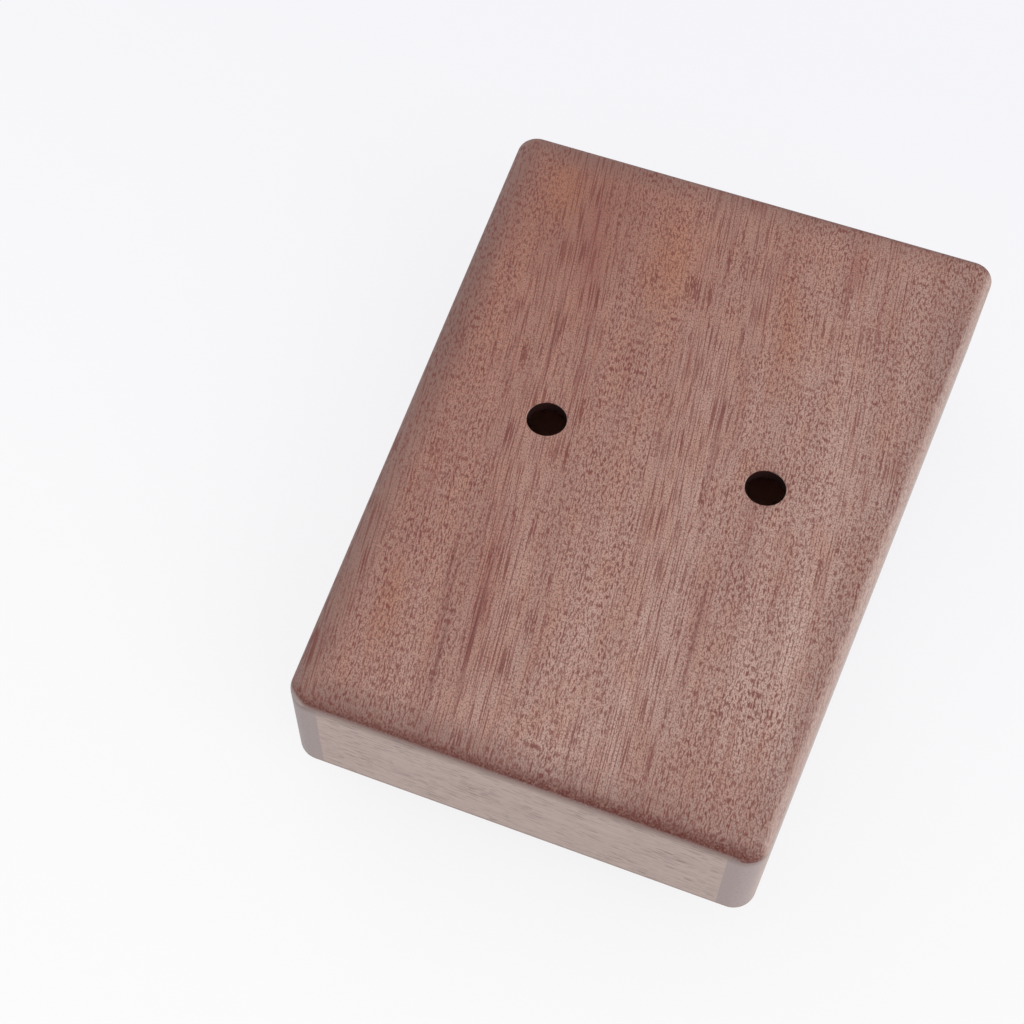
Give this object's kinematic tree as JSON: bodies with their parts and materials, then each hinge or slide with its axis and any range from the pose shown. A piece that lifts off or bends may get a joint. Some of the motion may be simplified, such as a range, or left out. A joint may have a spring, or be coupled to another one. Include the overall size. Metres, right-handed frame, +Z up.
{
  "type": "kalimba",
  "caption": "Box kalimba lying face down: tapered hollow wooden body, round finger holes in its back, sound hole, and spring-steel tines clamped on a bridge.",
  "frame": {"origin": "under the middle of the body, on the surface that the tine tips and screw heads rest on", "axes": "+Z up through the back plate, +Y along the body to the wide head end, +X to the right of someone at the tail end"},
  "size_m": [0.1334, 0.183, 0.0466],
  "materials": {
    "back_wood": "satin lacquered mahogany, open grained",
    "board_wood": "satin lacquered mahogany, open grained",
    "rail_wood": "satin lacquered mahogany",
    "block_wood": "bare sawn wood",
    "bridge_wood": "oiled rosewood",
    "rod_brass": "polished",
    "bar_steel": "nickel plated",
    "screw_steel": "zinc plated",
    "tine_steel": "ground spring steel"
  },
  "bodies": {
    "root": {"back_plate": "back_wood", "soundboard": "board_wood", "left_side_rail": "rail_wood", "right_side_rail": "rail_wood", "head_end_rail": "rail_wood", "tail_end_rail": "rail_wood", "bridge_block": "block_wood", "bridge_base": "bridge_wood", "front_bridge_rod": "rod_brass", "rear_bridge_rod": "rod_brass", "pressure_bar": "bar_steel", "bridge_screws": "screw_steel"},
    "tine_01": {"tine_01": "tine_steel"},
    "tine_02": {"tine_02": "tine_steel"},
    "tine_03": {"tine_03": "tine_steel"},
    "tine_04": {"tine_04": "tine_steel"},
    "tine_05": {"tine_05": "tine_steel"},
    "tine_06": {"tine_06": "tine_steel"},
    "tine_07": {"tine_07": "tine_steel"},
    "tine_08": {"tine_08": "tine_steel"},
    "tine_09": {"tine_09": "tine_steel"},
    "tine_10": {"tine_10": "tine_steel"},
    "tine_11": {"tine_11": "tine_steel"},
    "tine_12": {"tine_12": "tine_steel"},
    "tine_13": {"tine_13": "tine_steel"},
    "tine_14": {"tine_14": "tine_steel"},
    "tine_15": {"tine_15": "tine_steel"},
    "tine_16": {"tine_16": "tine_steel"},
    "tine_17": {"tine_17": "tine_steel"}
  },
  "joints": [
    {"name": "tine_01_pluck", "type": "hinge", "parent": "root", "child": "tine_01", "pos_m": [0.052, 0.0425, 0.00893], "axis": [-1, 0, 0], "range_deg": [-3, 4], "stiffness_Nm_per_rad": 7.384, "deforming": ["tine_01"]},
    {"name": "tine_02_pluck", "type": "hinge", "parent": "root", "child": "tine_02", "pos_m": [0.046, 0.0425, 0.00893], "axis": [-1, 0, 0], "range_deg": [-3, 4], "stiffness_Nm_per_rad": 6.771, "deforming": ["tine_02"]},
    {"name": "tine_03_pluck", "type": "hinge", "parent": "root", "child": "tine_03", "pos_m": [0.04, 0.0425, 0.00893], "axis": [-1, 0, 0], "range_deg": [-3, 4], "stiffness_Nm_per_rad": 6.033, "deforming": ["tine_03"]},
    {"name": "tine_04_pluck", "type": "hinge", "parent": "root", "child": "tine_04", "pos_m": [0.032, 0.0425, 0.00893], "axis": [-1, 0, 0], "range_deg": [-3, 4], "stiffness_Nm_per_rad": 5.532, "deforming": ["tine_04"]},
    {"name": "tine_05_pluck", "type": "hinge", "parent": "root", "child": "tine_05", "pos_m": [0.026, 0.0425, 0.00893], "axis": [-1, 0, 0], "range_deg": [-3, 4], "stiffness_Nm_per_rad": 4.928, "deforming": ["tine_05"]},
    {"name": "tine_06_pluck", "type": "hinge", "parent": "root", "child": "tine_06", "pos_m": [0.02, 0.0425, 0.00893], "axis": [-1, 0, 0], "range_deg": [-3, 4], "stiffness_Nm_per_rad": 4.519, "deforming": ["tine_06"]},
    {"name": "tine_07_pluck", "type": "hinge", "parent": "root", "child": "tine_07", "pos_m": [0.014, 0.0425, 0.00893], "axis": [-1, 0, 0], "range_deg": [-3, 4], "stiffness_Nm_per_rad": 4.026, "deforming": ["tine_07"]},
    {"name": "tine_08_pluck", "type": "hinge", "parent": "root", "child": "tine_08", "pos_m": [0.006, 0.0425, 0.00893], "axis": [-1, 0, 0], "range_deg": [-3, 4], "stiffness_Nm_per_rad": 3.692, "deforming": ["tine_08"]},
    {"name": "tine_09_pluck", "type": "hinge", "parent": "root", "child": "tine_09", "pos_m": [0, 0.0425, 0.00893], "axis": [-1, 0, 0], "range_deg": [-3, 4], "stiffness_Nm_per_rad": 3.485, "deforming": ["tine_09"]},
    {"name": "tine_10_pluck", "type": "hinge", "parent": "root", "child": "tine_10", "pos_m": [-0.006, 0.0425, 0.00893], "axis": [-1, 0, 0], "range_deg": [-3, 4], "stiffness_Nm_per_rad": 3.912, "deforming": ["tine_10"]},
    {"name": "tine_11_pluck", "type": "hinge", "parent": "root", "child": "tine_11", "pos_m": [-0.014, 0.0425, 0.00893], "axis": [-1, 0, 0], "range_deg": [-3, 4], "stiffness_Nm_per_rad": 4.266, "deforming": ["tine_11"]},
    {"name": "tine_12_pluck", "type": "hinge", "parent": "root", "child": "tine_12", "pos_m": [-0.02, 0.0425, 0.00893], "axis": [-1, 0, 0], "range_deg": [-3, 4], "stiffness_Nm_per_rad": 4.788, "deforming": ["tine_12"]},
    {"name": "tine_13_pluck", "type": "hinge", "parent": "root", "child": "tine_13", "pos_m": [-0.026, 0.0425, 0.00893], "axis": [-1, 0, 0], "range_deg": [-3, 4], "stiffness_Nm_per_rad": 5.221, "deforming": ["tine_13"]},
    {"name": "tine_14_pluck", "type": "hinge", "parent": "root", "child": "tine_14", "pos_m": [-0.032, 0.0425, 0.00893], "axis": [-1, 0, 0], "range_deg": [-3, 4], "stiffness_Nm_per_rad": 5.694, "deforming": ["tine_14"]},
    {"name": "tine_15_pluck", "type": "hinge", "parent": "root", "child": "tine_15", "pos_m": [-0.04, 0.0425, 0.00893], "axis": [-1, 0, 0], "range_deg": [-3, 4], "stiffness_Nm_per_rad": 6.391, "deforming": ["tine_15"]},
    {"name": "tine_16_pluck", "type": "hinge", "parent": "root", "child": "tine_16", "pos_m": [-0.046, 0.0425, 0.00893], "axis": [-1, 0, 0], "range_deg": [-3, 4], "stiffness_Nm_per_rad": 6.97, "deforming": ["tine_16"]},
    {"name": "tine_17_pluck", "type": "hinge", "parent": "root", "child": "tine_17", "pos_m": [-0.052, 0.0425, 0.00893], "axis": [-1, 0, 0], "range_deg": [-3, 4], "stiffness_Nm_per_rad": 7.823, "deforming": ["tine_17"]}
  ]
}
